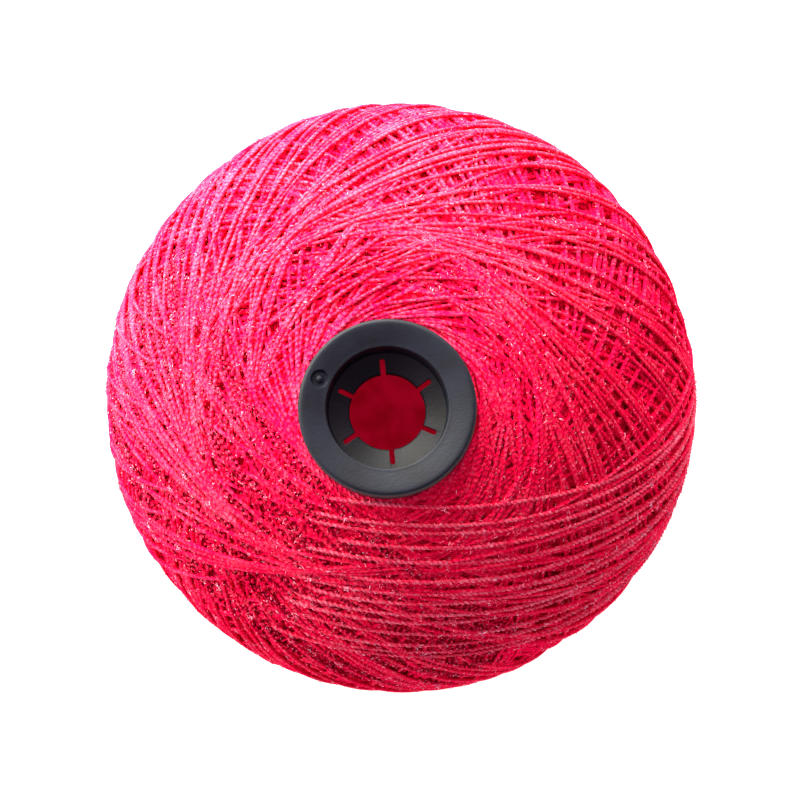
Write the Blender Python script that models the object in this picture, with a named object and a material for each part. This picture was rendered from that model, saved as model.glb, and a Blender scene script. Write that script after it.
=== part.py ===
"""Hollow ball of wound yarn with a moulded eyelet that a small lamp pushes into.

Metres, +Z up. The ball stands on a small flat spot at the origin, and the eyelet's
axis is parallel to +Z on top of it, a little beside the ball's own centre line.
"""

import math

import bmesh
import bpy
from mathutils import Matrix, Vector

MM = 0.001

# Ball
BALL_RADIUS = 30.0 * MM  # out to the outermost turns of yarn
WALL = 2.0 * MM  # thickness of the wound wall
FOOT_RADIUS = 5.0 * MM  # flat spot it stands on
CENTRE_Z = math.sqrt(BALL_RADIUS**2 - FOOT_RADIUS**2)

# Main turns: rounded ridges and valleys along broad bands of yarn
TWIST_DEPTH = 0.25 * MM  # valley floors lie this far below the crowns
TWIST_REACH = 3.2 * MM  # half width of one band's crown
TWIST_FULLNESS = 2.5  # how soon a crown reaches the ball's full radius
TWISTS = (
    # azimuth of the band's pole, tilt of its pole from +Z, in degrees
    (20.0, 82.0),
    (75.0, 66.0),
    (128.0, 88.0),
    (170.0, 58.0),
    (214.0, 76.0),
    (262.0, 84.0),
    (305.0, 62.0),
    (344.0, 72.0),
)

# Seat: the level ring of yarn that carries the eyelet's flange. It stands above the round
# of the ball on the side away from the ball's crown, and is pressed into it on the other.
EYELET_X = -1.3 * MM
EYELET_Y = -4.7 * MM
SEAT_Z = CENTRE_Z + 28.3 * MM
SEAT_FLAT_RADIUS = 9.0 * MM  # level out to here
SEAT_BLEND_RADIUS = 22.0 * MM  # quite round again from here
GAP = 0.3 * MM
MOUTH_CUT = 4.0 * WALL  # height of the cutter that opens the wall, middle on the seat

# Eyelet: radii about its axis, heights above the underside of its flange
FLANGE_RADIUS = 8.55 * MM
FLANGE_EDGE = 2.1 * MM
FLANGE_SHOULDER = 0.35 * MM  # rounding of the flange's outer edge
RIM_HEIGHT = 2.2 * MM
RIM_FLAT_RADIUS = 6.5 * MM
RIM_RADIUS = 5.88 * MM
FLOOR_RADIUS = 5.72 * MM
FLOOR_DROP = 3.4 * MM  # rim down to the floor's outer edge
HOLE_RADIUS = 3.65 * MM
HOLE_DROP = 4.5 * MM  # rim down to the lip of the hole
TAB_THICKNESS = 0.8 * MM
BARREL_RADIUS = 6.4 * MM
BARREL_BORE = 5.6 * MM
BARREL_LENGTH = 4.4 * MM
BEAD_RADIUS = 7.1 * MM  # snaps behind the wound wall
BEAD_TOP = 2.9 * MM  # below the underside of the flange
BEAD_HEIGHT = 0.9 * MM

# Slits that part the floor into springy tabs
SLIT_COUNT = 6
SLIT_START_DEG = 36.0
SLIT_END_RADIUS = 5.15 * MM
SLIT_WIDTH = 0.5 * MM

# Moulding gate mark: a round dimple with a nub left in it
GATE_DEG = 157.0
GATE_AT_RADIUS = 7.0 * MM
GATE_RADIUS = 0.9 * MM
GATE_DEPTH = 0.35 * MM
NUB_RADIUS = 0.45 * MM

OUTER_SEGMENTS = 72
OUTER_RINGS = 36
INNER_SEGMENTS = 40
INNER_RINGS = 20
TURNED_SEGMENTS = 72
GATE_SEGMENTS = 16
SHOULDER_STEPS = 4
SHOULDER_TURN_DEG = 70.0
SLIT_END_STEPS = 6
SHARP_DEG = 35.0  # edges that turn by more than this stay crisp


def clear_scene():
    """Take away every object and its mesh."""
    for thing in list(bpy.data.objects):
        bpy.data.objects.remove(thing, do_unlink=True)
    for mesh in list(bpy.data.meshes):
        bpy.data.meshes.remove(mesh)


def make_material(name, colour, roughness, metallic=0.0):
    """A Principled material with one flat colour."""
    material = bpy.data.materials.new(name)
    material.use_nodes = True
    shader = material.node_tree.nodes["Principled BSDF"]
    shader.inputs["Base Color"].default_value = (*colour, 1.0)
    shader.inputs["Roughness"].default_value = roughness
    shader.inputs["Metallic"].default_value = metallic
    return material


def add_object(name, bm, material=None):
    """Turn a bmesh into a named object in the scene."""
    bmesh.ops.recalc_face_normals(bm, faces=bm.faces)
    mesh = bpy.data.meshes.new(name)
    bm.to_mesh(mesh)
    bm.free()
    thing = bpy.data.objects.new(name, mesh)
    bpy.context.collection.objects.link(thing)
    if material is not None:
        mesh.materials.append(material)
    return thing


def as_cutter(thing):
    """Mark an object as a tool that only cuts others."""
    thing.hide_render = True
    thing.display_type = "WIRE"
    return thing


def cut_away(target, cutter):
    """Cut one object away from another."""
    modifier = target.modifiers.new(cutter.name, "BOOLEAN")
    modifier.operation = "DIFFERENCE"
    modifier.solver = "EXACT"
    modifier.object = cutter


def band_height(direction):
    """How far the main turns lift the yarn in this direction from the centre."""
    height = 0.0
    for azimuth, tilt in TWISTS:
        phi = math.radians(azimuth)
        theta = math.radians(tilt)
        flat = math.sin(theta)
        pole = Vector((flat * math.cos(phi), flat * math.sin(phi), math.cos(theta)))
        across = BALL_RADIUS * math.asin(max(-1.0, min(1.0, direction.dot(pole))))
        height += math.exp(-((across / TWIST_REACH) ** 2))
    return -TWIST_DEPTH * math.exp(-TWIST_FULLNESS * height)


def seated_height(x, y, z, radius, seat_z):
    """Height of the wound surface once it is drawn to the level seat of the eyelet.

    The lift needed at the seat's edge fades out over the blend, on every side of it.
    """
    across = math.hypot(x - EYELET_X, y - EYELET_Y)
    if across <= SEAT_FLAT_RADIUS:
        return seat_z
    edge_x = EYELET_X + (x - EYELET_X) * SEAT_FLAT_RADIUS / across
    edge_y = EYELET_Y + (y - EYELET_Y) * SEAT_FLAT_RADIUS / across
    edge_z = CENTRE_Z + math.sqrt(radius**2 - edge_x**2 - edge_y**2)
    fade = (SEAT_BLEND_RADIUS - across) / (SEAT_BLEND_RADIUS - SEAT_FLAT_RADIUS)
    return z + (seat_z - edge_z) * max(fade, 0.0) ** 2


def wound_surface(bm, radius, segments, rings, seat_z, twisted):
    """A round wound form, level under the eyelet, with its main turns if asked."""
    bmesh.ops.create_uvsphere(bm, u_segments=segments, v_segments=rings, radius=1.0)
    for vert in bm.verts:
        direction = vert.co.normalized()
        lift = band_height(direction) if twisted else 0.0
        vert.co = direction * (radius + lift)
        vert.co.z += CENTRE_Z
        if direction.z > 0.0:
            vert.co.z = seated_height(*vert.co, radius, seat_z)


def make_wound_ball(material):
    """The hollow ball: wound wall, flat spot and round opening for the eyelet."""
    outer = bmesh.new()
    wound_surface(outer, BALL_RADIUS, OUTER_SEGMENTS, OUTER_RINGS, SEAT_Z, True)
    foot = bmesh.ops.bisect_plane(
        outer,
        geom=outer.verts[:] + outer.edges[:] + outer.faces[:],
        plane_co=(0.0, 0.0, 0.0),
        plane_no=(0.0, 0.0, 1.0),
        clear_inner=True,
    )
    edges = [item for item in foot["geom_cut"] if isinstance(item, bmesh.types.BMEdge)]
    bmesh.ops.contextual_create(outer, geom=edges)
    ball = add_object("wound_ball", outer, material)

    inner = bmesh.new()
    wound_surface(
        inner, BALL_RADIUS - WALL, INNER_SEGMENTS, INNER_RINGS, SEAT_Z - WALL, False
    )
    hollow = as_cutter(add_object("cut_hollow", inner))

    opening = bmesh.new()
    bmesh.ops.create_cone(
        opening,
        cap_ends=True,
        segments=TURNED_SEGMENTS,
        radius1=BARREL_RADIUS + GAP,
        radius2=BARREL_RADIUS + GAP,
        depth=MOUTH_CUT,
    )
    bmesh.ops.translate(opening, vec=(EYELET_X, EYELET_Y, SEAT_Z), verts=opening.verts)
    mouth = as_cutter(add_object("cut_mouth", opening))

    cut_away(ball, hollow)
    cut_away(ball, mouth)
    shade_smooth(ball)
    return ball


def shade_smooth(thing):
    """Smooth shading, with the real edges kept crisp."""
    thing.data.shade_smooth()
    thing.data.set_sharp_from_angle(angle=math.radians(SHARP_DEG))


def arc(centre_r, centre_z, radius, start_deg, end_deg, steps):
    """Points on an arc in the turned profile's plane."""
    points = []
    for step in range(steps + 1):
        angle = math.radians(start_deg + (end_deg - start_deg) * step / steps)
        points.append((centre_r + radius * math.cos(angle), centre_z + radius * math.sin(angle)))
    return points


def eyelet_profile():
    """Closed outline of the eyelet's section: radius and height above its underside."""
    shoulder_r = FLANGE_RADIUS - FLANGE_SHOULDER
    shoulder_z = FLANGE_EDGE - FLANGE_SHOULDER
    floor_z = RIM_HEIGHT - FLOOR_DROP
    lip_z = RIM_HEIGHT - HOLE_DROP
    bead_middle = -BEAD_TOP - BEAD_HEIGHT / 2.0
    return [
        (BARREL_RADIUS, 0.0),
        (FLANGE_RADIUS, 0.0),
        *arc(shoulder_r, shoulder_z, FLANGE_SHOULDER, 0.0, SHOULDER_TURN_DEG, SHOULDER_STEPS),
        (RIM_FLAT_RADIUS, RIM_HEIGHT),
        (RIM_RADIUS, RIM_HEIGHT),
        (FLOOR_RADIUS, floor_z),
        (HOLE_RADIUS, lip_z),
        (HOLE_RADIUS, lip_z - TAB_THICKNESS),
        (BARREL_BORE, floor_z - TAB_THICKNESS),
        (BARREL_BORE, -BARREL_LENGTH),
        (BARREL_RADIUS, -BARREL_LENGTH),
        (BARREL_RADIUS, -BEAD_TOP - BEAD_HEIGHT),
        (BEAD_RADIUS, bead_middle),
        (BARREL_RADIUS, -BEAD_TOP),
    ]


def turned_ring(outline, segments):
    """A closed ring whose section is the outline, turned about +Z."""
    turned = bmesh.new()
    rings = []
    for radius, height in outline:
        ring = []
        for step in range(segments):
            angle = 2.0 * math.pi * step / segments
            place = (radius * math.cos(angle), radius * math.sin(angle), height)
            ring.append(turned.verts.new(place))
        rings.append(ring)
    for ring, following in zip(rings, rings[1:] + rings[:1]):
        for step in range(segments):
            after = (step + 1) % segments
            turned.faces.new((ring[step], ring[after], following[after], following[step]))
    return turned


def make_slit(index, base_z):
    """Cutter for one slit: a straight slot through the floor, round at its far end."""
    half = SLIT_WIDTH / 2.0
    inner_end = HOLE_RADIUS - SLIT_WIDTH
    outline = [(inner_end, half), (inner_end, -half)]
    outline += arc(SLIT_END_RADIUS - half, 0.0, half, -90.0, 90.0, SLIT_END_STEPS)
    low = base_z - BARREL_LENGTH
    high = base_z + RIM_HEIGHT - FLOOR_DROP + SLIT_WIDTH
    slot = bmesh.new()
    foot = slot.faces.new([slot.verts.new((x, y, low)) for x, y in outline])
    pulled = bmesh.ops.extrude_face_region(slot, geom=[foot])
    top = [item for item in pulled["geom"] if isinstance(item, bmesh.types.BMVert)]
    bmesh.ops.translate(slot, vec=(0.0, 0.0, high - low), verts=top)
    turn = math.radians(SLIT_START_DEG + 360.0 * index / SLIT_COUNT)
    bmesh.ops.rotate(slot, verts=slot.verts, matrix=Matrix.Rotation(turn, 3, "Z"))
    bmesh.ops.translate(slot, vec=(EYELET_X, EYELET_Y, 0.0), verts=slot.verts)
    return as_cutter(add_object(f"cut_slit_{index + 1}", slot))


def make_gate_dimple(base_z):
    """Cutter for the round gate mark: a ring, so that a nub stays in its middle."""
    top = RIM_HEIGHT + GATE_DEPTH
    floor = RIM_HEIGHT - 2.0 * GATE_DEPTH
    outline = [(GATE_RADIUS, floor), (GATE_RADIUS, top), (NUB_RADIUS, top), (NUB_RADIUS, floor)]
    ring = turned_ring(outline, GATE_SEGMENTS)
    turn = math.radians(GATE_DEG)
    place = (
        EYELET_X + GATE_AT_RADIUS * math.cos(turn),
        EYELET_Y + GATE_AT_RADIUS * math.sin(turn),
        base_z,
    )
    bmesh.ops.translate(ring, vec=place, verts=ring.verts)
    return as_cutter(add_object("cut_gate", ring))


def make_eyelet(material, base_z):
    """The moulded eyelet: domed flange, recess, slitted floor, hole and barrel."""
    eyelet = add_object("eyelet", turned_ring(eyelet_profile(), TURNED_SEGMENTS), material)
    eyelet.location = (EYELET_X, EYELET_Y, base_z)
    for index in range(SLIT_COUNT):
        cut_away(eyelet, make_slit(index, base_z))
    cut_away(eyelet, make_gate_dimple(base_z))
    shade_smooth(eyelet)
    return eyelet


def main():
    """Build the two pieces."""
    clear_scene()
    make_wound_ball(make_material("yarn", (0.78, 0.01, 0.06), 0.9))
    make_eyelet(make_material("eyelet", (0.03, 0.035, 0.042), 0.55), SEAT_Z + GAP)


main()
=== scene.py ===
"""Looks of a hollow ball of wound cotton yarn with a moulded eyelet on top.

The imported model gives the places: the ball's box, and the eyelet's box, whose middle is
the eyelet's axis. Everything here is in metres, +Z up, with the ball standing on z = 0.
"""

import logging
import math
from dataclasses import dataclass
from enum import Enum

import bmesh
import bpy
import numpy as np
from mathutils import Matrix, Vector


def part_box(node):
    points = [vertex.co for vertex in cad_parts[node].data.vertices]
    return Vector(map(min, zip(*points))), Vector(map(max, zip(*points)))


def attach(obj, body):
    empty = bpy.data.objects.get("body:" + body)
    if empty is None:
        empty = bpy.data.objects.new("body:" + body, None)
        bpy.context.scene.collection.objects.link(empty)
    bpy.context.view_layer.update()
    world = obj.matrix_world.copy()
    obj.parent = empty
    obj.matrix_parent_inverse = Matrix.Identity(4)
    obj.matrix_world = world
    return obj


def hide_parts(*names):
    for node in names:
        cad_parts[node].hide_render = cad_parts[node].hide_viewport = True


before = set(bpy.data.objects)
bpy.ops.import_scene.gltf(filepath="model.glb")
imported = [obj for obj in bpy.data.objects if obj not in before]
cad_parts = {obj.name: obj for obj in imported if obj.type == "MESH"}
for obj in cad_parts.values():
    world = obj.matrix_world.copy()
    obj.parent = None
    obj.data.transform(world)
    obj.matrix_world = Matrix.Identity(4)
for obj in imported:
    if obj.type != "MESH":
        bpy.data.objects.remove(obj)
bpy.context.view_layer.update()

log = logging.getLogger("yarn_ball")

MM = 0.001
Array = np.ndarray
Material = bpy.types.Material
Mesh = bpy.types.Mesh
Piece = bpy.types.Object
Socket = bpy.types.NodeSocket
# how far above the ball's seat the underside of the CAD's flange lies
SEAT_GAP = 0.3 * MM


# ---- colours and nodes


def to_linear(code: str) -> tuple[float, float, float, float]:
    """Turn an sRGB hex colour into linear light.

    Args:
        code: six hex digits after a hash.

    Returns:
        Red, green, blue and an alpha of 1.
    """
    parts = [int(code[i : i + 2], 16) / 255.0 for i in (1, 3, 5)]
    lin = [c / 12.92 if c <= 0.04045 else ((c + 0.055) / 1.055) ** 2.4 for c in parts]
    return (lin[0], lin[1], lin[2], 1.0)


class Nodes:
    """The nodes of a material or a world, added one after the other."""

    def __init__(self, owner: Material | bpy.types.World) -> None:
        """Start with the shader that a new material or world has, and with its coordinates."""
        owner.use_nodes = True
        self.owner = owner
        self.tree = owner.node_tree
        self.at = self.tree.nodes.new("ShaderNodeTexCoord").outputs

    def plug(self, node: bpy.types.Node, sockets: dict) -> None:
        """Set or link a node's inputs.

        Args:
            node: the node.
            sockets: input name or number to a value, or to the output socket that feeds it.
        """
        for key, value in sockets.items():
            if isinstance(value, Socket):
                self.tree.links.new(value, node.inputs[key])
            else:
                node.inputs[key].default_value = value

    def add(self, kind: str, sockets: dict, output: int | str = 0, **settings) -> Socket:
        """Add one node.

        Args:
            kind: the node's type name, without the leading ShaderNode.
            sockets: its inputs, as plug takes them.
            output: which of its outputs is wanted.
            **settings: properties of the node itself.

        Returns:
            That output.
        """
        node = self.tree.nodes.new("ShaderNode" + kind)
        for name, value in settings.items():
            setattr(node, name, value)
        self.plug(node, sockets)
        return node.outputs[output]

    def calc(self, operation: str, *values) -> Socket:
        """Add one step of arithmetic."""
        return self.add("Math", dict(enumerate(values)), operation=operation)

    def dot(self, one: Socket, other) -> Socket:
        """Tell how far two directions agree, 1 where they are the same."""
        return self.add("VectorMath", {0: one, 1: other}, "Value", operation="DOT_PRODUCT")

    def noise(self, scale: float, detail: float) -> Socket:
        """Add noise in the piece's own space, with so many waves to a metre."""
        return self.add("TexNoise", {"Vector": self.at["Object"], "Scale": scale, "Detail": detail}, "Fac")

    def remap(self, value: Socket, low_high: tuple, ends: tuple, kind: str = "LINEAR") -> Socket:
        """Carry a value over to another range, and hold it at the ends.

        Args:
            value: the value.
            low_high: the range it comes from.
            ends: the range it goes to.
            kind: how it runs between them.

        Returns:
            The new value.
        """
        names = ("Value", "From Min", "From Max", "To Min", "To Max")
        sockets = dict(zip(names, (value, *low_high, *ends)))
        return self.add("MapRange", sockets, "Result", interpolation_type=kind)

    def mix(self, share: Socket, one, other) -> Socket:
        """Mix two colours, from all of the first at 0 to all of the other at 1."""
        return self.add("Mix", {"Factor": share, "A": one, "B": other}, "Result", data_type="RGBA")

    def ramp(self, factor: Socket, stops: dict) -> Socket:
        """Run a value through a colour ramp.

        Args:
            factor: the value that picks the colour.
            stops: position to sRGB hex colour.

        Returns:
            The colour.
        """
        colour = self.add("ValToRGB", {"Fac": factor}, "Color")
        elements = colour.node.color_ramp.elements
        places = sorted(stops)
        elements[0].position = places[0]
        elements[1].position = places[-1]
        for place in places[1:-1]:
            elements.new(place)
        for element, place in zip(elements, places):
            element.color = to_linear(stops[place])
        return colour

    def shaded(self, sockets: dict) -> Material:
        """Give the Principled shader its inputs, and return the material."""
        self.plug(self.tree.nodes["Principled BSDF"], sockets)
        return self.owner


def new_nodes(name: str) -> Nodes:
    """Start a material that has the given name."""
    return Nodes(bpy.data.materials.new(name))


def settled(bm: bmesh.types.BMesh, name: str) -> Mesh:
    """Turn a working mesh into a lasting one.

    Args:
        bm: the working mesh, which is freed.
        name: the new mesh's name.

    Returns:
        The new mesh.
    """
    mesh = bpy.data.meshes.new(name)
    bm.to_mesh(mesh)
    bm.free()
    return mesh


# ---- the form of the ball


@dataclass(frozen=True)
class BallForm:
    """The round of the ball, drawn level under the eyelet and pressed flat at its foot.

    The level seat has a radius of seat_flat, and at seat_blend the ball is round again.
    """

    eyelet_x: float
    eyelet_y: float
    radius: float = 30.0 * MM
    foot_radius: float = 5.0 * MM
    seat_height: float = 28.3 * MM
    seat_flat: float = 9.0 * MM
    seat_blend: float = 22.0 * MM

    @property
    def centre_z(self) -> float:
        """Height of the ball's centre over its foot."""
        return math.sqrt(self.radius**2 - self.foot_radius**2)

    @property
    def axis(self) -> Array:
        """Direction from the ball's centre to the eyelet, which the turns circle round."""
        rise = math.sqrt(self.radius**2 - self.eyelet_x**2 - self.eyelet_y**2)
        return np.array([self.eyelet_x, self.eyelet_y, rise]) / self.radius

    def surface(self, directions: Array, depth: Array) -> Array:
        """Place points below the skin of the ball.

        Args:
            directions: unit vectors from the ball's centre, one row each.
            depth: how far each point lies below the skin.

        Returns:
            The points, one row each.
        """
        radius = self.radius - depth
        points = directions * radius[:, None]
        points[:, 2] += self.centre_z
        eyelet = np.array([self.eyelet_x, self.eyelet_y])
        flat = points[:, :2] - eyelet
        across = np.maximum(np.linalg.norm(flat, axis=1), 1e-6)
        edge = eyelet + flat * (self.seat_flat / across)[:, None]
        edge_z = self.centre_z + np.sqrt(radius**2 - (edge**2).sum(axis=1))
        seat_z = self.centre_z + self.seat_height - depth
        fade = np.clip((self.seat_blend - across) / (self.seat_blend - self.seat_flat), 0.0, 1.0)
        lifted = points[:, 2] + (seat_z - edge_z) * fade**2
        lifted = np.where(across <= self.seat_flat, seat_z, lifted)
        points[:, 2] = np.where(directions[:, 2] > 0.0, lifted, points[:, 2])
        points[:, 2] = np.maximum(points[:, 2], depth)
        return points

    def depth_of(self, points: Array) -> Array:
        """Tell how far below the skin points lie, nearly enough to colour them by.

        Args:
            points: one row each.

        Returns:
            One depth for each point, below zero for those outside the skin.
        """
        middle = np.array([0.0, 0.0, self.centre_z])
        reach = np.linalg.norm(points - middle, axis=1)
        skin = self.surface((points - middle) / reach[:, None], np.zeros(len(points)))
        return np.linalg.norm(skin - middle, axis=1) - reach


def eased_noise(places: Array, seed: int) -> Array:
    """Smooth random values along a line, about 1 in size, one knot at each whole number.

    Args:
        places: where the values are wanted, none below zero.
        seed: which run of random values is used.

    Returns:
        One value for each place.
    """
    knots = np.random.default_rng(seed).normal(size=int(places.max()) + 3)
    whole = places.astype(int)
    part = places - whole
    part = part * part * (3.0 - 2.0 * part)
    return knots[whole] * (1.0 - part) + knots[whole + 1] * part


# ---- winding


class Section(Enum):
    """Outlines a strand is drawn with, as corners round a radius of 1."""

    FIBRE = ((0.0, 1.0), (-0.866, -0.5), (0.866, -0.5))
    ROUND = ((0.0, 1.0), (-1.0, 0.0), (0.0, -1.0), (1.0, 0.0))
    TWO_PLY = ((0.0, 0.66), (-0.78, 0.58), (-0.78, -0.58), (0.0, -0.66), (0.78, -0.58), (0.78, 0.58))


@dataclass(frozen=True)
class Round:
    """One round of turns, each passing the eyelet at about the same distance.

    Each turn is a nearly great circle. Its nearest point to the eyelet steps round the
    eyelet, so the turns cross on both sides of it and the later one lies on top.

    Attributes:
        start_deg, sweep_deg: where round the eyelet the first turn passes it, and how much
            farther round the last one does.
        near_deg, near_end_deg: angle from the eyelet to the first and the last turn.
        near_swing_deg, wide_side_deg: how much wider that is on one side, and which side.
        near_wander_deg: how far it strays from turn to turn.
        far_deg, far_swing_deg: angle from the far pole to a turn, and how far that swings.
        depth_mm, yarn_mm: depth of the yarn's middle below the skin, and its radius.
        steps: how many stretches a turn is drawn with.
        arc_deg: the part of each turn that lies on top of older ones, from where it passes
            the eyelet. The rest is buried and isn't drawn.
        dusty: whether lint clings to it, as to the turns wound last.
    """

    name: str
    turns: int
    start_deg: float
    sweep_deg: float
    near_deg: float
    near_end_deg: float
    near_swing_deg: float
    wide_side_deg: float
    near_wander_deg: float
    far_deg: float
    far_swing_deg: float
    depth_mm: float
    yarn_mm: float
    steps: int
    seed: int
    arc_deg: tuple[float, float] | None = None
    dusty: bool = False


@dataclass(frozen=True)
class Winder:
    """Lays the yarn: works out where each round of turns runs on the ball.

    Attributes:
        step_wander, sway, depth_wander, slub: how uneven the yarn's steps round the eyelet,
            its run from side to side, its depth and its thickness are.
        step_knots, near_knots, depth_knots, slub_knots, sway_knots: how often a turn changes so.
        far_swings: how often the angle from the far pole swings in a round.
        lap, lap_soft: how far the yarn rises over a turn it crosses, and how suddenly.
        lap_near: angle from where it passes the eyelet, in radians, within which it rises less.
        dive, dive_deg: how deep the ends of an arc dip, and over how much of it.
        squeeze: share of its depth that a deep turn keeps next to the eyelet.
    """

    form: BallForm
    step_wander: float = 0.55
    sway: float = 0.065 * MM
    depth_wander: float = 0.04 * MM
    slub: float = 0.12
    slub_limit: float = 0.3
    step_knots: float = 2.0
    near_knots: float = 1.1
    depth_knots: float = 1.3
    slub_knots: float = 23.0
    sway_knots: float = 24.0
    far_swings: float = 7.3
    lap: float = 0.13 * MM
    lap_soft: float = 0.02
    lap_near: float = 0.25
    dive: float = 0.75 * MM
    dive_deg: float = 8.0
    dive_wander_deg: float = 2.5
    squeeze: float = 0.45
    squeeze_from_deg: float = 16.0
    squeeze_to_deg: float = 26.0

    def frame(self) -> tuple[Array, Array, Array]:
        """Return the axis through the eyelet and two directions square to it."""
        axis = self.form.axis
        side = np.array([1.0, 0.0, 0.0])
        side = side - axis * side.dot(axis)
        side /= np.linalg.norm(side)
        return axis, side, np.cross(axis, side)

    def lay(self, spec: Round) -> tuple[Array, Array]:
        """Work out the run of one round.

        Args:
            spec: the round.

        Returns:
            The points along the middle of the yarn, and the yarn's radius at each. A round
            of arcs has one after the other, with the same number of points in each.
        """
        if spec.arc_deg is None:
            s = np.arange(spec.turns * spec.steps + 1) / spec.steps
        else:
            low, high = (0.5 + edge / 360.0 for edge in spec.arc_deg)
            s = (np.arange(spec.turns)[:, None] + np.linspace(low, high, spec.steps)).ravel()
        share = s / spec.turns
        pitch = math.radians(spec.sweep_deg) / spec.turns
        phi = math.radians(spec.start_deg) + pitch * s
        phi += pitch * self.step_wander * eased_noise(self.step_knots * s, spec.seed)
        near_deg = spec.near_deg + (spec.near_end_deg - spec.near_deg) * share
        near_deg = near_deg + spec.near_swing_deg * np.cos(phi - math.radians(spec.wide_side_deg))
        near_deg = near_deg + spec.near_wander_deg * eased_noise(self.near_knots * s, spec.seed + 1)
        swing = np.sin(2.0 * math.pi * self.far_swings * share + spec.seed)
        far_deg = spec.far_deg + spec.far_swing_deg * swing
        directions, around = self.circles(phi, np.radians(near_deg), np.radians(far_deg), s, spec.seed)
        yarn, depth, lap = spec.yarn_mm * MM, spec.depth_mm * MM, 0.0
        if spec.arc_deg is None:
            lap = self.lap * self.over_and_under(around, share, spec.sweep_deg / 360.0)
        else:
            depth = depth + self.dive * self.buried(s, spec)
        depth = depth + self.depth_wander * eased_noise(self.depth_knots * s, spec.seed + 2)
        depth = np.maximum(self.squeezed(directions, depth, yarn) - lap, 0.0)
        slub = self.slub * eased_noise(self.slub_knots * s, spec.seed + 3)
        radii = yarn * (1.0 + np.clip(slub, -self.slub_limit, self.slub_limit))
        return self.form.surface(directions, depth), radii

    def circles(self, phi: Array, near: Array, far: Array, s: Array, seed: int) -> tuple[Array, Array]:
        """Run round the ball, passing the eyelet and the far pole at given angles.

        Args:
            phi: where round the eyelet each point's own turn is nearest to it.
            near: angle from the eyelet to the turn's nearest point.
            far: angle from the far pole to its farthest point.
            s: turns laid so far.
            seed: picks the sway.

        Returns:
            Unit vectors from the ball's centre, and the angle round the axis from the
            turn's nearest point to each of them.
        """
        axis, side, up = self.frame()
        out = np.cos(phi)[:, None] * side + np.sin(phi)[:, None] * up
        along = -np.sin(phi)[:, None] * side + np.cos(phi)[:, None] * up
        # each turn is a circle of this size round a pole of its own, which leans from the axis
        lean = 0.5 * (near + far) - 0.5 * math.pi
        size = 0.5 * math.pi + 0.5 * (near - far)
        pole = np.cos(lean)[:, None] * axis + np.sin(lean)[:, None] * out
        toward = -np.sin(lean)[:, None] * axis + np.cos(lean)[:, None] * out
        u = 2.0 * math.pi * (s % 1.0) - math.pi
        ring = np.cos(u)[:, None] * toward + np.sin(u)[:, None] * along
        directions = np.cos(size)[:, None] * pole + np.sin(size)[:, None] * ring
        sway = self.sway / self.form.radius * eased_noise(self.sway_knots * s, seed + 4)
        directions += pole * sway[:, None]
        directions /= np.linalg.norm(directions, axis=1, keepdims=True)
        around = np.arctan2((directions * along).sum(axis=1), (directions * out).sum(axis=1))
        return directions, around

    def over_and_under(self, around: Array, share: Array, rounds: float) -> Array:
        """Say where the yarn lies over (1) or under (-1) the turns it crosses.

        Args:
            around: angle round the axis from the turn's nearest point.
            share: how much of the round is laid.
            rounds: how often it goes round the eyelet.

        Returns:
            One value for each point.
        """
        crossed = share + 2.0 * around / (2.0 * math.pi) / rounds
        ahead = -1.0 + 2.0 / (1.0 + np.exp(-(crossed - 1.0) / self.lap_soft))
        behind = 1.0 - 2.0 / (1.0 + np.exp(crossed / self.lap_soft))
        rise = np.where(around > 0.0, ahead, behind)
        return rise * np.clip(np.abs(around) / self.lap_near, 0.0, 1.0)

    def buried(self, s: Array, spec: Round) -> Array:
        """Say where an arc lies on top (0) and where its ends are under older turns (1).

        Args:
            s: turns laid so far.
            spec: the round.

        Returns:
            One value for each point.
        """
        low, high = spec.arc_deg
        wander = self.dive_wander_deg * eased_noise(3.0 * (s // 1.0), spec.seed + 5)
        at = 360.0 * (s % 1.0) - 180.0 + wander
        start = 1.0 / (1.0 + np.exp(at - low - self.dive_deg))
        return start + 1.0 / (1.0 + np.exp(high - self.dive_deg - at))

    def squeezed(self, directions: Array, depth: Array, yarn: float) -> Array:
        """Bring deep turns up where they bunch round the eyelet and the far pole.

        Args:
            directions: unit vectors from the ball's centre.
            depth: depth of the yarn away from the eyelet.
            yarn: the yarn's radius.

        Returns:
            The depth with the squeeze.
        """
        from_axis = np.degrees(np.arccos(np.clip(np.abs(directions @ self.form.axis), 0.0, 1.0)))
        t = (from_axis - self.squeeze_from_deg) / (self.squeeze_to_deg - self.squeeze_from_deg)
        t = np.clip(t, 0.0, 1.0)
        factor = self.squeeze + (1.0 - self.squeeze) * t * t * (3.0 - 2.0 * t)
        return yarn + (depth - yarn) * factor


# ---- finishes


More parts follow.
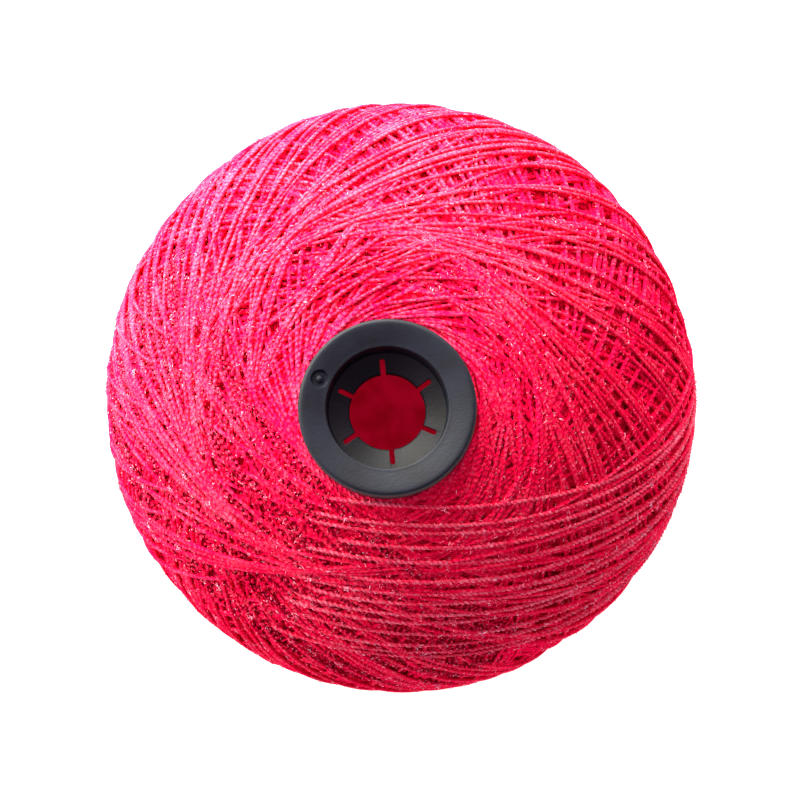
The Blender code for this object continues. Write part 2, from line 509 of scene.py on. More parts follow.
@dataclass(frozen=True)
class DyedCotton:
    """Two-ply carded cotton, dyed a hot pink, starched onto the ball and worn fuzzy.

    The eye sees saturated strands, paler and dusty along their crests where the fibres
    stand up, and a deeper red between them. Outer sides and the side toward the light are also
    painted paler (painted light), and gaps and deeper turns painted darker (painted shade).

    Attributes:
        hollow: darker colour between the fibres and plies, and far down in the winding: painted shade.
        crest: paler colour of its outer side, partly broken fibres that stand up and partly painted light.
        lint: colour of loose, hardly dyed fibre caught on it.
        lay_mm: length of one full turn of a ply.
        dust: how much more lint it carries than the turns below.
        painted_light_side, painted_light: the side the light comes from, as a direction from the
            centre, and how much paler the yarn is painted there: painted light.
    """

    name: str = "dyed_two_ply_cotton"
    hollow: str = "#EA0A44"
    body: str = "#FC0C4C"
    crest: str = "#FF4068"
    lint: str = "#FF6A86"
    lay_mm: float = 1.15
    dust: float = 0.0
    painted_light_side: tuple[float, float, float] = (-0.443, 0.833, 0.33)
    painted_light: float = 0.09

    def make(self, centre_z: float) -> Material:
        """Build the material.

        Args:
            centre_z: height of the ball's centre.

        Returns:
            The material.
        """
        nodes = new_nodes(self.name)
        centre = (0.0, 0.0, centre_z)
        out = nodes.add("VectorMath", {0: nodes.at["Object"], 1: centre}, operation="SUBTRACT")
        ray = nodes.add("VectorMath", {0: out}, operation="NORMALIZE")
        # painted light: each strand's side that faces out from the ball is painted paler
        painted_outer_light = nodes.dot(ray, nodes.add("NewGeometry", {}, "Normal"))
        # painted light: the yarn is painted paler on the side the light comes from
        painted_light = nodes.remap(nodes.dot(ray, self.painted_light_side), (-0.1, 0.7), (0.0, self.painted_light))
        # painted shade: the deeper a strand lies below the skin, the nearer it is painted to the darker
        # hollow colour
        depth = nodes.add("Attribute", {}, "Fac", attribute_name="depth_mm")
        along = nodes.add("UVMap", {}, "UV", uv_map="Along")
        x, y = (nodes.add("SeparateXYZ", {"Vector": along}, axis) for axis in "XY")
        phase = nodes.calc("MULTIPLY_ADD", y, 2.0, nodes.calc("MULTIPLY", x, 2.0 / self.lay_mm))
        # the ply grooves are also painted darker in the colour, not only bumped: painted shade in the
        # grooves
        ply = nodes.calc("ABSOLUTE", nodes.calc("SINE", nodes.calc("MULTIPLY", phase, math.pi)))
        # dye streaks and slubs about 4 mm long, flecks 0.4 mm wide, fibre ends 0.15 mm wide
        streak, fleck, fibre = nodes.noise(260.0, 3.0), nodes.noise(2400.0, 2.0), nodes.noise(6500.0, 1.0)
        # the ramp's input: lint, streaks and flecks, with painted light and painted shade added in
        lint_and_painted_shading = nodes.calc("ADD", painted_light, self.dust - 0.07)
        weights = ((painted_outer_light, 0.08), (streak, 0.30), (fleck, 0.54), (fibre, 0.30), (ply, 0.06), (depth, -0.20))
        for value, weight in weights:
            lint_and_painted_shading = nodes.calc("MULTIPLY_ADD", value, weight, lint_and_painted_shading)
        stops = {0.42: self.hollow, 0.56: self.body, 0.70: self.crest, 0.86: self.lint}
        rough = nodes.calc("MULTIPLY_ADD", fibre, 0.8, nodes.calc("MULTIPLY_ADD", ply, 0.8, fleck))
        relief = nodes.add("Bump", {"Height": rough, "Strength": 1.0, "Distance": 0.11 * MM}, "Normal")
        colour = nodes.ramp(lint_and_painted_shading, stops)
        return nodes.shaded(
            {"Base Color": colour, "Roughness": 0.95, "Specular IOR Level": 0.0, "Normal": relief}
        )


@dataclass(frozen=True)
class CottonLint:
    """Loose cotton fibre, some dyed and some nearly bare: pale pink curls against the yarn."""

    name: str = "carded_cotton_lint"
    dyed: str = "#FF407C"
    bare: str = "#FFB8D6"

    def make(self) -> Material:
        """Build the material."""
        nodes = new_nodes(self.name)
        colour = nodes.ramp(nodes.noise(1300.0, 1.0), {0.42: self.dyed, 0.62: self.bare})
        return nodes.shaded({"Base Color": colour, "Roughness": 0.95, "Specular IOR Level": 0.05})


@dataclass(frozen=True)
class GluedYarn:
    """Cotton turns deep inside the wall, stiff with glue: wine red, with a painted glow standing in for
    light soaking through them.

    Attributes:
        patches: how many there are to a metre, and how finely they are broken up.
        plain: the painted glow's colour, or the dye where the patches glow.
        backlit: whether the mottled patches are in the painted glow rather than in the dye.
    """

    name: str = "glued_inner_turns"
    light: str = "#E0002C"
    dark: str = "#B40020"
    plain: str = "#6A0010"
    patches: tuple[float, float] = (900.0, 3.0)
    backlit: bool = False

    def make(self) -> Material:
        """Build the material."""
        nodes = new_nodes(self.name)
        mottled = nodes.ramp(nodes.noise(*self.patches), {0.35: self.dark, 0.65: self.light})
        dye, glow = mottled, to_linear(self.plain)
        if self.backlit:
            dye, glow = glow, mottled
        # painted light: the emission is a painted glow, standing in for light that comes through the wall
        glowing = {"Emission Color": glow, "Emission Strength": 1.0}
        return nodes.shaded({"Base Color": dye, "Roughness": 0.9, **glowing})


@dataclass(frozen=True)
class SlatePlastic:
    """Polypropylene, injection moulded from a spark-eroded tool: dull, slate black, faintly grained.

    The recess is painted darker than the flange, the more so toward its floor: painted shade.
    """

    name: str = "moulded_polypropylene"
    light: str = "#181E2B"
    dark: str = "#10141D"
    recess_shade: str = "#06080C"

    def make(self, rim_z: float, floor_z: float) -> Material:
        """Build the material.

        Args:
            rim_z: height at which the painted shade of the recess begins.
            floor_z: height at which it is at its darkest.

        Returns:
            The material.
        """
        nodes = new_nodes(self.name)
        height = nodes.add("SeparateXYZ", {"Vector": nodes.at["Object"]}, "Z")
        # painted shade: the recess is darkened toward its floor
        sunk = nodes.remap(height, (rim_z, floor_z), (0.0, 0.5))
        face = nodes.ramp(nodes.noise(350.0, 4.0), {0.3: self.dark, 0.7: self.light})
        colour = nodes.mix(sunk, face, to_linear(self.recess_shade))
        grain = nodes.noise(3500.0, 2.0)
        relief = nodes.add("Bump", {"Height": grain, "Strength": 0.5, "Distance": 0.04 * MM}, "Normal")
        return nodes.shaded(
            {"Base Color": colour, "Roughness": 0.5, "Specular IOR Level": 0.2, "Normal": relief}
        )


@dataclass(frozen=True)
class LitTable:
    """Opal acrylic table, lit from below so that it takes no shadow."""

    name: str = "opal_acrylic"
    body: str = "#B4B4B4"
    lit: str = "#FFFFFF"
    strength: float = 0.88

    def make(self) -> Material:
        """Build the material."""
        nodes = new_nodes(self.name)
        body = {"Base Color": to_linear(self.body), "Roughness": 0.6, "Specular IOR Level": 0.0}
        glow = {"Emission Color": to_linear(self.lit), "Emission Strength": self.strength}
        return nodes.shaded(body | glow)


# ---- sub-assemblies


def link(name: str, data: bpy.types.ID) -> Piece:
    """Put a mesh, curve, camera or light in the scene.

    Args:
        name: the object's name.
        data: what it shows.

    Returns:
        The object.
    """
    piece = bpy.data.objects.new(name, data)
    bpy.context.collection.objects.link(piece)
    return piece


def tubes(
    name: str,
    runs: list[Array],
    radii: list[Array],
    section: Section,
    twists: list[Array] | None = None,
) -> Mesh:
    """Draw smooth-shaded strands along runs of points.

    Args:
        name: the mesh's name.
        runs: points along the middle of each strand.
        radii: the strand's radius at each of them; pointed ends have a radius of nothing.
        section: the strand's outline.
        twists: how far the outline is turned at each point, in radians.

    Returns:
        The mesh, with the curve's own UV map.
    """
    outline = bpy.data.curves.new(name + "_section", "CURVE")
    ring = outline.splines.new("POLY")
    ring.points.add(len(section.value) - 1)
    for point, corner in zip(ring.points, section.value):
        point.co = (corner[0], corner[1], 0.0, 1.0)
    ring.use_cyclic_u = True
    former = link(name + "_section", outline)
    curve = bpy.data.curves.new(name + "_run", "CURVE")
    curve.dimensions = "3D"
    curve.bevel_mode = "OBJECT"
    curve.bevel_object = former
    curve.use_fill_caps = section is not Section.FIBRE
    for number, (points, sizes) in enumerate(zip(runs, radii)):
        spline = curve.splines.new("POLY")
        spline.points.add(len(points) - 1)
        spline.points.foreach_set("co", np.column_stack([points, np.ones(len(points))]).ravel())
        spline.points.foreach_set("radius", sizes)
        if twists is not None:
            spline.points.foreach_set("tilt", twists[number])
    carrier = link(name + "_run", curve)
    depsgraph = bpy.context.evaluated_depsgraph_get()
    mesh = bpy.data.meshes.new_from_object(carrier.evaluated_get(depsgraph))
    mesh.name = name
    for helper, data in ((carrier, curve), (former, outline)):
        bpy.data.objects.remove(helper, do_unlink=True)
        bpy.data.curves.remove(data)
    if section is Section.FIBRE:
        bm = bmesh.new()
        bm.from_mesh(mesh)
        bmesh.ops.remove_doubles(bm, verts=bm.verts, dist=1e-7)
        bm.to_mesh(mesh)
        bm.free()
    mesh.shade_smooth()
    return mesh


def report(piece: Piece) -> None:
    """Log a piece and how many triangles it has."""
    count = sum(len(face.vertices) - 2 for face in piece.data.polygons)
    log.info("%s: %d triangles", piece.name, count)


@dataclass
class WoundBall:
    """The hollow ball: rounds of yarn over a glued inner wall.

    Attributes:
        dim, glow: finish of the wall's outside and of its inside, each with a painted glow.
        fuzzy: the rounds that fibres stand out of.
        lay: length of one full turn of a ply.
        rounds: the outermost first, and then the arcs that lie on top of them.
    """

    form: BallForm
    winder: Winder
    cotton: DyedCotton = DyedCotton()
    dusted: DyedCotton = DyedCotton(name="dusted_two_ply_cotton", lint="#FF7E9C", dust=0.13)
    dim: GluedYarn = GluedYarn()
    glow: GluedYarn = GluedYarn("backlit_wound_wall", "#8A021C", "#720110", "#5A0012", (420.0, 2.0), True)
    lint: CottonLint = CottonLint()
    matted: CottonLint = CottonLint(name="matted_cotton_fibre", dyed="#FF2654", bare="#FF6C8C")
    fuzzy: tuple[str, ...] = ("turns_1", "turns_2", "side_turns", "last_turns", "left_turns")
    lay: float = 1.15 * MM
    twist_wander: float = 0.7
    wall_outer: float = 1.65 * MM
    wall_inner: float = 2.0 * MM
    mouth_radius: float = 6.9 * MM
    # in each row: name, turns, start, sweep, near and its end, its swing and wide side, its wander,
    # far and its swing, depth, yarn, steps, seed
    rounds: tuple[Round, ...] = (
        Round("turns_1", 92, 285.0, 360.0, 35.0, 34.0, 5.0, 175.0, 2.2, 20.0, 14.0, 0.36, 0.230, 180, 11),
        Round("turns_2", 78, 262.0, 360.0, 25.5, 25.5, 2.0, 150.0, 2.8, 26.0, 16.0, 0.54, 0.225, 165, 23),
        Round("turns_3", 80, 245.0, 360.0, 17.5, 17.5, 0.4, 0.0, 0.8, 18.0, 12.0, 0.76, 0.225, 112, 37),
        Round("turns_4", 110, 70.0, 360.0, 40.0, 40.0, 4.0, 200.0, 3.0, 32.0, 14.0, 0.98, 0.220, 66, 41),
        Round("turns_5", 100, 160.0, 360.0, 20.0, 20.0, 1.0, 90.0, 1.8, 15.0, 12.0, 1.22, 0.220, 60, 53),
        Round("turns_6", 90, 310.0, 360.0, 47.0, 47.0, 4.0, 30.0, 3.0, 42.0, 14.0, 1.40, 0.220, 60, 67),
        Round(
            "side_turns", 36, 222.0, 8.0, 17.0, 64.0, 0.0, 0.0, 1.5, 20.0, 6.0, 0.26, 0.230, 110, 101,
            arc_deg=(-70.0, 66.0),
        ),
        Round(
            "last_turns", 14, 266.0, -8.0, 17.3, 58.5, 0.0, 0.0, 0.7, 35.0, 3.0, 0.20, 0.245, 680, 71,
            arc_deg=(-20.0, 150.0), dusty=True,
        ),
        Round(
            "left_turns", 10, 258.0, 42.0, 0.5, 26.0, 0.0, 0.0, 1.0, 20.0, 6.0, 0.18, 0.230, 260, 83,
            arc_deg=(-118.0, -44.0),
        ),
    )

    def build(self) -> None:
        """Build all the pieces of the ball."""
        cotton, dusted = (finish.make(self.form.centre_z) for finish in (self.cotton, self.dusted))
        pieces, runs = [], []
        for spec in self.rounds:
            points, radii = self.winder.lay(spec)
            piece = self.strand(spec, points, radii)
            piece.data.materials.append(dusted if spec.dusty else cotton)
            pieces.append(piece)
            if spec.name in self.fuzzy:
                runs.extend([points] if spec.arc_deg is None else np.split(points, spec.turns))
        finish = self.lint.make()
        yarn = self.rounds[0].yarn_mm * MM
        pieces.append(Fuzz(self.form).build(runs, yarn, finish))
        pieces.append(Fuzz(self.form, "fuzz", 5000, 3, (0.30 * MM, 0.85 * MM), 97).build(runs, yarn, finish))
        mat = Fuzz(
            self.form, "matted_fibres", 22000, 2, (0.35 * MM, 0.8 * MM), 151, 1400, 0.4,
            spread=0.9 * MM, sunk=0.3 * MM,
        )
        pieces.append(mat.build(runs, yarn, self.matted.make()))
        pieces.append(self.wall())
        for piece in pieces:
            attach(piece, "root")
            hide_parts("wound_ball")
            report(piece)

    def strand(self, spec: Round, points: Array, radii: Array) -> Piece:
        """Turn a round's run into a mesh tube with its two UV maps.

        Args:
            spec: the round.
            points: the middle of the yarn.
            radii: its radius at each point.

        Returns:
            The mesh object.
        """
        if spec.arc_deg is None:
            mesh = tubes(spec.name, [points], [radii], Section.ROUND)
            self.unroll(mesh, spec.turns, 2.0 * math.pi * self.form.radius * spec.turns / MM)
        else:
            run = np.append(0.0, np.cumsum(np.linalg.norm(np.diff(points, axis=0), axis=1)))
            stray = self.twist_wander * eased_noise(run / (1.6 * self.lay), spec.seed + 6)
            twist = 2.0 * math.pi * run / self.lay + stray
            arcs = [np.split(part, spec.turns) for part in (points, radii, twist)]
            mesh = tubes(spec.name, arcs[0], arcs[1], Section.TWO_PLY, arcs[2])
            self.unroll(mesh, spec.turns, 0.0)
        places = np.empty(3 * len(mesh.vertices))
        mesh.vertices.foreach_get("co", places)
        sunk = mesh.attributes.new("depth_mm", "FLOAT", "POINT")
        sunk.data.foreach_set("value", self.form.depth_of(places.reshape(-1, 3)) / MM)
        return link(spec.name, mesh)

    def unroll(self, mesh: Mesh, turns: int, length_mm: float) -> None:
        """Give a strand its UV maps: Along in millimetres, and OFBake with one row for each turn.

        Args:
            mesh: the strand, with the curve's own UV map.
            turns: how many turns it makes.
            length_mm: its length, or nothing where the outline itself is twisted.
        """
        layer = mesh.uv_layers[0]
        layer.name = "Along"
        uv = np.empty(2 * len(mesh.loops), dtype=np.float32)
        layer.uv.foreach_get("vector", uv)
        uv = uv.reshape(-1, 2)
        starts = np.empty(len(mesh.polygons), dtype=np.int32)
        totals = np.empty_like(starts)
        mesh.polygons.foreach_get("loop_start", starts)
        mesh.polygons.foreach_get("loop_total", totals)
        if length_mm:
            middle = np.add.reduceat(uv[:, 0].astype(float), starts) / totals
            row = np.repeat(np.clip((middle * turns).astype(int), 0, turns - 1), totals)
            part = uv[:, 0].astype(float) * turns - row
        else:
            row = np.repeat(np.arange(len(totals)) * turns // len(totals), totals)
            part = uv[:, 0]
        packed = np.empty_like(uv)
        packed[:, 0] = 0.002 + 0.996 * part
        packed[:, 1] = (row + 0.06 + 0.88 * uv[:, 1]) / turns
        uv[:, 0] *= length_mm
        layer.uv.foreach_set("vector", uv.ravel())
        bake = mesh.uv_layers.new(name="OFBake")
        bake.uv.foreach_set("vector", packed.ravel())

    def wall(self) -> Piece:
        """Make the glued wall behind the turns: two skins of the ball's form, joined round the mouth.

        Returns:
            The mesh object.
        """
        bm = bmesh.new()
        turn = Vector((0.0, 0.0, 1.0)).rotation_difference(Vector(self.form.axis)).to_matrix()
        eyelet = Vector((self.form.eyelet_x, self.form.eyelet_y))
        rims = []
        for skin, depth in enumerate((self.wall_outer, self.wall_inner)):
            verts = bmesh.ops.create_uvsphere(bm, u_segments=96, v_segments=64, radius=1.0)["verts"]
            bmesh.ops.rotate(bm, cent=(0.0, 0.0, 0.0), matrix=turn, verts=verts)
            directions = np.array([v.co.normalized() for v in verts])
            for vert, point in zip(verts, self.form.surface(directions, np.full(len(verts), depth))):
                vert.co = point
            faces = list({face for vert in verts for face in vert.link_faces})
            if skin:
                bmesh.ops.reverse_faces(bm, faces=faces)
            above = [face for face in faces if face.calc_center_median().z > self.form.centre_z]
            near = [(face.calc_center_median().xy - eyelet).length < self.mouth_radius for face in above]
            gone = [face for face, inside in zip(above, near) if inside]
            for face in faces:
                face.material_index = skin
            bmesh.ops.delete(bm, geom=gone, context="FACES")
            rims.append([e for v in verts if v.is_valid for e in v.link_edges if e.is_boundary])
        bridged = bmesh.ops.bridge_loops(bm, edges=list(set(rims[0] + rims[1])))
        for face in bridged["faces"]:
            face.material_index = 0
        mesh = settled(bm, "glued_wall")
        mesh.shade_smooth()
        mesh.materials.append(self.dim.make())
        mesh.materials.append(self.glow.make())
        return link("glued_wall", mesh)


@dataclass
class Fuzz:
    """Short fibres broken out of the yarn, and lint caught on it.

    Attributes:
        fibres, bends: how many there are, and how many stretches each is drawn with.
        length: shortest and longest.
        tufts, matted: how many places they are matted at, and what share of them is.
        thickness: radius at the middle; a real fibre's 0.01 mm is drawn coarser so that it shows.
        spread, sunk: how far beside the yarn and below it they may lie.
        root: how far from the middle of the yarn they spring, as a share of its radius.
        sides: how far round the yarn from its outer side, in radians.
        lift, droop: steepest slope they leave it with, and what they lose of it by their end.
        curl, kink: how far a fibre curls, and each stretch strays from that, in radians.
    """

    form: BallForm
    name: str = "lint_specks"
    fibres: int = 15000
    bends: int = 2
    length: tuple[float, float] = (0.14 * MM, 0.42 * MM)
    seed: int = 131
    tufts: int = 260
    matted: float = 0.22
    thickness: tuple[float, float] = (0.032 * MM, 0.06 * MM)
    spread: float = 0.0
    sunk: float = 0.0
    root: float = 0.95
    sides: float = 1.2
    lift: float = 0.55
    droop: float = 1.1
    curl: float = 2.6
    kink: float = 0.35

    def build(self, runs: list[Array], yarn: float, finish: Material) -> Piece:
        """Scatter the fibres over the outer turns.

        Args:
            runs: points along the yarn of the outer rounds.
            yarn: the yarn's radius.
            finish: the fibres' material.

        Returns:
            The mesh object.
        """
        rng = np.random.default_rng(self.seed)
        column = (self.fibres, 1)
        sites = np.concatenate([run[:-1] for run in runs])
        nexts = np.concatenate([run[1:] for run in runs])
        weight = np.linalg.norm(nexts - sites, axis=1)
        picks = rng.choice(len(sites), self.fibres, p=weight / weight.sum())
        tufts = rng.integers(0, len(sites), self.tufts)
        matted = rng.random(self.fibres) < self.matted
        picks[matted] = rng.choice(tufts, matted.sum())
        share = rng.random(column)
        start = sites[picks] * (1.0 - share) + nexts[picks] * share
        along = self.unit(nexts[picks] - sites[picks])
        out = self.unit(start - np.array([0.0, 0.0, self.form.centre_z]))
        across = np.cross(along, out)
        lean = rng.uniform(-self.sides, self.sides, column)
        start = start + yarn * self.root * (np.cos(lean) * out + np.sin(lean) * across)
        start = start + self.spread * rng.uniform(-0.5, 0.5, column) * across
        start = start - self.sunk * rng.random(column) * out
        heading = rng.uniform(-math.pi, math.pi, column)
        lift = rng.uniform(0.0, self.lift, column)
        step = rng.uniform(*self.length, column) / self.bends
        bend = rng.normal(0.0, self.curl / self.bends, column)
        curls = [start]
        for _ in range(self.bends):
            flat = np.cos(heading) * along + np.sin(heading) * across
            curls.append(curls[-1] + step * (flat + lift * out))
            heading = heading + bend + rng.normal(0.0, self.kink, column)
            lift = lift - self.droop / self.bends
        pointed = [0.0] + [1.0] * (self.bends - 1) + [0.0]
        sizes = np.outer(rng.uniform(*self.thickness, self.fibres), pointed)
        mesh = tubes(self.name, list(np.stack(curls, axis=1)), list(sizes), Section.FIBRE)
        self.unroll(mesh)
        mesh.materials.append(finish)
        return link(self.name, mesh)

    def unit(self, rows: Array) -> Array:
        """Scale each row to a length of 1."""
        return rows / np.linalg.norm(rows, axis=1, keepdims=True)

    def unroll(self, mesh: Mesh) -> None:
        """Give every fibre its own square of the OFBake map.

        Args:
            mesh: the fibres, with the curve's own UV map.
        """
        layer = mesh.uv_layers[0]
        layer.name = "OFBake"
        uv = np.empty(2 * len(mesh.loops), dtype=np.float32)
        layer.uv.foreach_get("vector", uv)
        uv = uv.reshape(-1, 2)
        side = math.ceil(math.sqrt(self.fibres))
        fibre = np.arange(len(uv)) * self.fibres // len(uv)
        uv[:, 0] = (fibre % side + 0.1 + 0.8 * uv[:, 0]) / side
        uv[:, 1] = (fibre // side + 0.1 + 0.8 * uv[:, 1]) / side
        layer.uv.foreach_set("vector", uv.ravel())


@dataclass
class Eyelet:
    """The moulded eyelet: a slightly dished flange round a recess, with six springy tabs at its floor.

    Radii are about its own axis and heights above the CAD flange's underside, which lies a
    little clear of the turns; here the flange is pressed down on them by seat_sink.
    """

    centre: Vector
    plastic: SlatePlastic = SlatePlastic()
    segments: int = 180
    flange_radius: float = 8.55 * MM
    seat_sink: float = 0.35 * MM
    edge_height: float = 2.2 * MM
    edge_round: float = 0.4 * MM
    seat_round: float = 0.3 * MM
    crown_radius: float = 6.10 * MM
    dish: float = 0.45 * MM
    rim_height: float = 1.2 * MM
    recess_radius: float = 5.88 * MM
    floor_radius: float = 5.72 * MM
    floor_height: float = -1.2 * MM
    hole_radius: float = 3.65 * MM
    lip_height: float = -1.6 * MM
    tab: float = 0.8 * MM
    barrel_radius: float = 6.4 * MM
    barrel_bore: float = 5.6 * MM
    barrel_length: float = 4.4 * MM
    barrel_chamfer: float = 0.15 * MM
    bead_radius: float = 7.1 * MM
    bead_top: float = 2.9 * MM
    bead_height: float = 0.9 * MM
    slits: int = 6
    slit_start_deg: float = 36.0
    slit_from: float = 2.0 * MM
    slit_end: float = 5.15 * MM
    slit_width: float = 0.5 * MM
    slit_foot: float = -3.6 * MM
    slit_height: float = 3.4 * MM
    gate_deg: float = 157.0
    gate_at: float = 7.0 * MM
    gate_radius: float = 0.9 * MM
    gate_depth: float = 0.32 * MM
    gate_lean_deg: float = -10.0
    nub_radius: float = 0.36 * MM
    soften: float = 0.06 * MM
    sharp_deg: float = 38.0

    def build(self) -> None:
        """Turn the body, cut the slits and the gate mark, and soften the edges."""
        body = self.turned("eyelet_body", self.profile(), self.segments)
        cutters = [self.slit(k) for k in range(self.slits)] + [self.gate()]
        for cutter in cutters:
            cut = body.modifiers.new(cutter.name, "BOOLEAN")
            cut.operation = "DIFFERENCE"
            cut.solver = "EXACT"
            cut.object = cutter
        soften = body.modifiers.new("soften", "BEVEL")
        soften.width = self.soften
        soften.segments = 2
        soften.limit_method = "ANGLE"
        soften.angle_limit = math.radians(self.sharp_deg)
        soften.use_clamp_overlap = True
        depsgraph = bpy.context.evaluated_depsgraph_get()
        mesh = bpy.data.meshes.new_from_object(body.evaluated_get(depsgraph))
        for thing in [body, *cutters]:
            bpy.data.objects.remove(thing, do_unlink=True)
        mesh.name = "moulded_eyelet"
        mesh.transform(Matrix.Translation(self.centre))
        mesh.materials.clear()
        rim_z, floor_z = self.centre.z + self.rim_height, self.centre.z + self.floor_height
        mesh.materials.append(self.plastic.make(rim_z, floor_z))
        mesh.shade_smooth()
        mesh.set_sharp_from_angle(angle=math.radians(self.sharp_deg))
        piece = link("moulded_eyelet", mesh)
        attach(piece, "root")
        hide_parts("eyelet")
        report(piece)

    def profile(self) -> list[tuple[float, float]]:
        """Draw half the cross-section, from the barrel's foot up its outside and down its inside.

        Returns:
            Radius and height of each corner.
        """
        bead = self.bead_top + self.bead_height
        outline = [
            (self.barrel_radius - self.barrel_chamfer, -self.barrel_length),
            (self.barrel_radius, -self.barrel_length + self.barrel_chamfer),
            (self.barrel_radius, -bead),
            (self.bead_radius - 0.1 * MM, -bead + 0.3 * MM),
            (self.bead_radius, -bead + 0.45 * MM),
            (self.bead_radius - 0.1 * MM, -bead + 0.6 * MM),
            (self.barrel_radius, -self.bead_top),
            (self.barrel_radius, -self.seat_sink),
            (self.flange_radius - self.seat_round, -self.seat_sink),
            (self.flange_radius - 0.3 * self.seat_round, 0.3 * self.seat_round - self.seat_sink),
            (self.flange_radius, self.seat_round - self.seat_sink),
        ]
        crest = self.flange_radius - self.edge_round
        for t in np.linspace(0.0, 0.5 * math.pi, 6):
            drop = self.edge_round * (1.0 - math.sin(t))
            outline.append((crest + self.edge_round * math.cos(t), self.edge_height - drop))
        for radius in np.linspace(crest, self.crown_radius, 9)[1:]:
            outline.append((radius, self.flange_height(radius)))
        lip = self.flange_height(self.crown_radius)
        outline += [
            (self.recess_radius + 0.10 * MM, lip - 0.01 * MM),
            (self.recess_radius + 0.03 * MM, lip - 0.05 * MM),
            (self.recess_radius, lip - 0.13 * MM),
            (self.floor_radius, self.floor_height + 0.12 * MM),
            (self.floor_radius - 0.04 * MM, self.floor_height + 0.03 * MM),
            (self.floor_radius - 0.14 * MM, self.floor_height - 0.03 * MM),
            (self.hole_radius + 0.16 * MM, self.lip_height + 0.07 * MM),
            (self.hole_radius + 0.04 * MM, self.lip_height - 0.04 * MM),
            (self.hole_radius, self.lip_height - 0.2 * MM),
            (self.hole_radius, self.lip_height - self.tab),
            (self.barrel_bore - 0.4 * MM, self.floor_height - self.tab),
            (self.barrel_bore, self.floor_height - self.tab - 0.1 * MM),
            (self.barrel_bore, -self.barrel_length),
        ]
        return outline

    def flange_height(self, radius: float) -> float:
        """Tell how high the dished top of the flange is at a radius."""
        crest = self.flange_radius - self.edge_round
        return self.edge_height - self.dish * ((crest - radius) / (crest - self.crown_radius)) ** 1.2

    def turned(self, name: str, outline: list[tuple[float, float]], segments: int) -> Piece:
        """Turn a closed outline round the +Z axis.

        Args:
            name: the object's name.
            outline: radius and height of each corner, none on the axis unless at its two ends.
            segments: stretches round the axis.

        Returns:
            The object, at the origin.
        """
        bm = bmesh.new()
        verts = [bm.verts.new((radius, 0.0, height)) for radius, height in outline]
        ring = verts + [verts[0]]
        edges = [bm.edges.new(pair) for pair in zip(ring, ring[1:])]
        turn = {"cent": (0.0, 0.0, 0.0), "axis": (0.0, 0.0, 1.0), "angle": 2.0 * math.pi}
        bmesh.ops.spin(bm, geom=verts + edges, steps=segments, use_merge=True, **turn)
        bmesh.ops.remove_doubles(bm, verts=bm.verts, dist=1e-7)
        bmesh.ops.dissolve_degenerate(bm, dist=1e-7, edges=bm.edges)
        bmesh.ops.recalc_face_normals(bm, faces=bm.faces)
        return link(name, settled(bm, name))

    def slit(self, index: int) -> Piece:
        """Make the cutter of one slit between two tabs, round at its outer end.

        Args:
            index: which slit.

        Returns:
            The cutter.
        """
        bm = bmesh.new()
        half = 0.5 * self.slit_width
        verts = [bm.verts.new((self.slit_from, -half, self.slit_foot))]
        for t in np.linspace(-0.5 * math.pi, 0.5 * math.pi, 9):
            at = self.slit_end - half + half * math.cos(t)
            verts.append(bm.verts.new((at, half * math.sin(t), self.slit_foot)))
        verts.append(bm.verts.new((self.slit_from, half, self.slit_foot)))
        face = bm.faces.new(verts)
        lifted = bmesh.ops.extrude_face_region(bm, geom=[face])["geom"]
        top = [v for v in lifted if isinstance(v, bmesh.types.BMVert)]
        bmesh.ops.translate(bm, verts=top, vec=(0.0, 0.0, self.slit_height))
        turn = Matrix.Rotation(math.radians(self.slit_start_deg + 360.0 * index / self.slits), 3, "Z")
        bmesh.ops.rotate(bm, cent=(0.0, 0.0, 0.0), matrix=turn, verts=bm.verts)
        bmesh.ops.recalc_face_normals(bm, faces=bm.faces)
        name = f"slit_{index}"
        return link(name, settled(bm, name))

    def gate(self) -> Piece:
        """Make the cutter of the gate mark: a round dish that leaves a nub in its middle.

        Returns:
            The cutter.
        """
        dish = [
            (0.02 * MM, 1.0 * MM),
            (0.02 * MM, -0.08 * MM),
            (0.7 * self.nub_radius, -0.10 * MM),
            (self.nub_radius, -0.2 * MM),
            (self.nub_radius + 0.06 * MM, -self.gate_depth),
            (self.gate_radius - 0.2 * MM, -self.gate_depth),
            (self.gate_radius - 0.05 * MM, -0.5 * self.gate_depth),
            (self.gate_radius, 0.0),
            (self.gate_radius, 1.0 * MM),
        ]
        cutter = self.turned("gate", dish, 32)
        place = (
            Matrix.Rotation(math.radians(self.gate_deg), 4, "Z")
            @ Matrix.Translation((self.gate_at, 0.0, self.flange_height(self.gate_at)))
            @ Matrix.Rotation(math.radians(self.gate_lean_deg), 4, "Y")
        )
        cutter.data.transform(place)
        return cutter


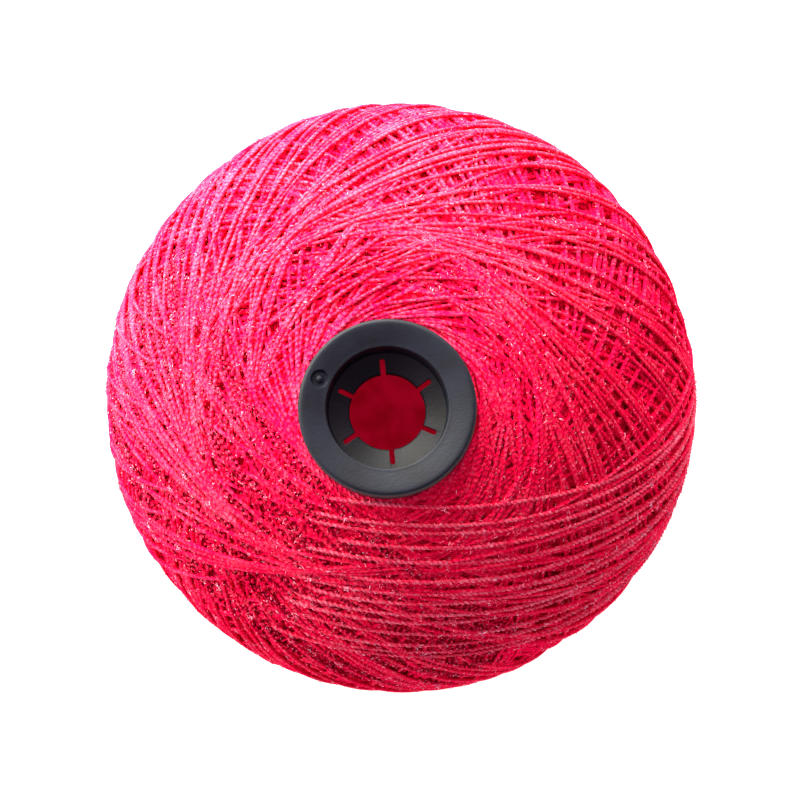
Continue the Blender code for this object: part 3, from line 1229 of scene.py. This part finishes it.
@dataclass
class Studio:
    """Camera nearly over the eyelet, a lit table, and a light tent round them.

    The tent's bright window, behind and to the left, is the main light. A small soft box
    stands in front of it, and the side across from it is dark.

    Attributes:
        aim: what the camera looks at, to the right of the ball's centre and up from it.
        level, window, opening: how bright the tent, its window and its dark side are.
        window_edge, opening_edge: where they fade in, as the cosine from the window.
    """

    centre: Vector
    distance: float = 480.0 * MM
    tilt_deg: float = 7.0
    aim: tuple[float, float] = (-0.09 * MM, -0.24 * MM)
    lens: float = 211.9
    level: float = 0.985
    window: float = 13.5
    window_edge: tuple[float, float] = (0.30, 0.90)
    opening: float = 0.04
    opening_edge: tuple[float, float] = (-0.85, 0.0)
    bright_side_deg: float = 121.0
    fill_tint: str = "#FFD0EA"
    window_tint: str = "#FFF8E4"
    key_offset: tuple[float, float, float] = (-0.30, 0.57, 0.24)
    key_size: float = 0.30
    key_power: float = 5.0
    table_half: float = 3.0
    table: LitTable = LitTable()

    def build(self) -> None:
        """Set up the camera, the lights and the table."""
        scene = bpy.context.scene
        scene.view_settings.view_transform = "Standard"
        scene.camera = self.camera()
        scene.world = self.tent()
        self.key()
        bm = bmesh.new()
        bmesh.ops.create_grid(bm, x_segments=1, y_segments=1, size=self.table_half)
        mesh = settled(bm, "table")
        mesh.materials.append(self.table.make())
        link("table", mesh)

    def camera(self) -> Piece:
        """Make the camera, with +X to its right.

        Returns:
            The camera.
        """
        tilt = math.radians(self.tilt_deg)
        back = Vector((0.0, -math.sin(tilt), math.cos(tilt)))
        right = Vector((1.0, 0.0, 0.0))
        up = back.cross(right)
        data = bpy.data.cameras.new("camera")
        data.lens = self.lens
        data.sensor_width = 36.0
        data.clip_start, data.clip_end = 0.01, 10.0
        camera = link("camera", data)
        target = self.centre + right * self.aim[0] + up * self.aim[1]
        turn = Matrix((right, up, back)).transposed().to_4x4()
        camera.matrix_world = Matrix.Translation(target + back * self.distance) @ turn
        return camera

    def tent(self) -> bpy.types.World:
        """Make the light tent, with its window and its dark side.

        Returns:
            The world.
        """
        nodes = Nodes(bpy.data.worlds.new("light_tent"))
        around = math.radians(self.bright_side_deg)
        share = nodes.dot(nodes.at["Generated"], Vector((math.cos(around), math.sin(around), 0.0)))
        bright = nodes.remap(share, self.window_edge, (0.0, self.window - self.level), "SMOOTHSTEP")
        level = nodes.remap(share, self.opening_edge, (self.opening, self.level), "SMOOTHSTEP")
        tint = nodes.mix(bright, to_linear(self.fill_tint), to_linear(self.window_tint))
        strength = nodes.calc("ADD", bright, level)
        nodes.plug(nodes.tree.nodes["Background"], {"Color": tint, "Strength": strength})
        return nodes.owner

    def key(self) -> None:
        """Hang the square soft box, which faces the ball."""
        data = bpy.data.lights.new("key", "AREA")
        data.size = self.key_size
        data.energy = self.key_power
        lamp = link("key", data)
        offset = Vector(self.key_offset)
        turn = offset.to_track_quat("Z", "Y").to_matrix().to_4x4()
        lamp.matrix_world = Matrix.Translation(self.centre + offset) @ turn


def main() -> None:
    """Build the studio, the ball and the eyelet."""
    logging.basicConfig(level=logging.INFO, format="%(message)s")
    low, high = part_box("eyelet")
    form = BallForm(0.5 * (low[0] + high[0]), 0.5 * (low[1] + high[1]))
    Studio(Vector((0.0, 0.0, form.centre_z))).build()
    WoundBall(form, Winder(form)).build()
    Eyelet(Vector((form.eyelet_x, form.eyelet_y, form.centre_z + form.seat_height + SEAT_GAP))).build()


if __name__ == "__main__":
    main()
